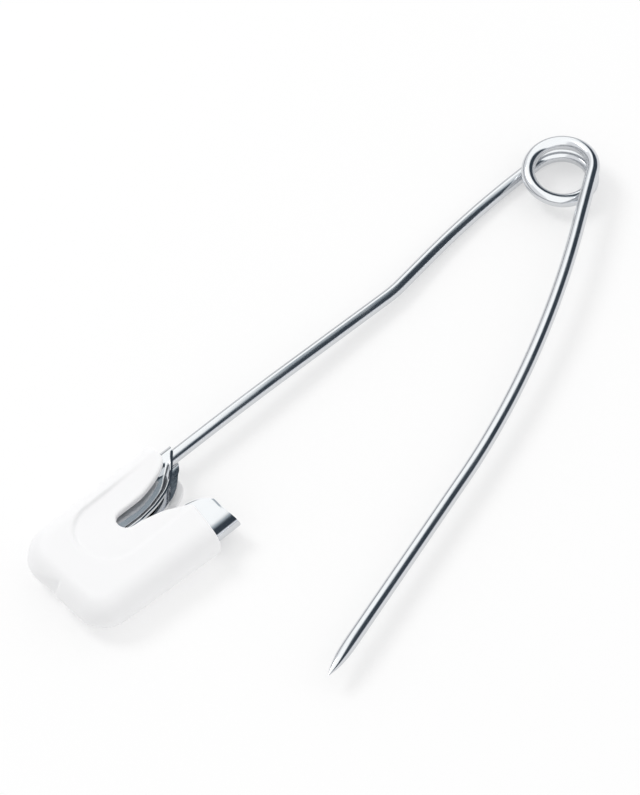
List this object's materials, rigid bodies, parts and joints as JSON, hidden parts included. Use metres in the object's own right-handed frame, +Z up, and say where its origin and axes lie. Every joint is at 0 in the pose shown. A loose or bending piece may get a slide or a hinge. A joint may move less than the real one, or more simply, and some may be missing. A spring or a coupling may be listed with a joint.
{
  "type": "safety pin",
  "caption": "Sprung-open safety pin with a wound coil, a sharp arm, a folded metal clasp and a plastic sleeve that slides to lock it.",
  "frame": {"origin": "on the flat underside of the lock sleeve, where the head rests on the table, beside the inner end of the clasp and half way between the leg's axis and the fold's axis", "axes": "+X along the fixed leg from the coil to the head, +Y from the fixed leg towards the pin arm, +Z up out of the surface that the pin lies on"},
  "size_m": [0.06, 0.0251, 0.0037],
  "materials": {
    "wire": "bright nickel-plated hard steel wire, drawn smooth",
    "clasp": "polished nickel-plated sheet steel",
    "sleeve": "white moulded plastic, soft gloss"
  },
  "bodies": {
    "leg_and_clasp": {"fixed_leg": "wire", "metal_clasp": "clasp"},
    "coil": {"spring_coil": "wire"},
    "arm": {"pin_arm": "wire"},
    "sleeve": {"lock_sleeve": "sleeve"}
  },
  "joints": [
    {"name": "arm_swing", "type": "hinge", "parent": "leg_and_clasp", "child": "coil", "pos_m": [-0.05215, -0.00252, 0.0018], "axis": [0, 0, 1], "range_deg": [-18.5, 12], "stiffness_Nm_per_rad": 0.1, "deforming": ["spring_coil"]},
    {"name": "arm_lift", "type": "hinge", "parent": "coil", "child": "arm", "pos_m": [-0.05261, 0.0003, 0.0028], "axis": [0.5446, -0.8387, 0], "range_deg": [0, 5], "stiffness_Nm_per_rad": 0.1},
    {"name": "sleeve_lock", "type": "slide", "parent": "leg_and_clasp", "child": "sleeve", "axis": [1, 0, 0], "range_m": [-0.0025, 0]}
  ]
}
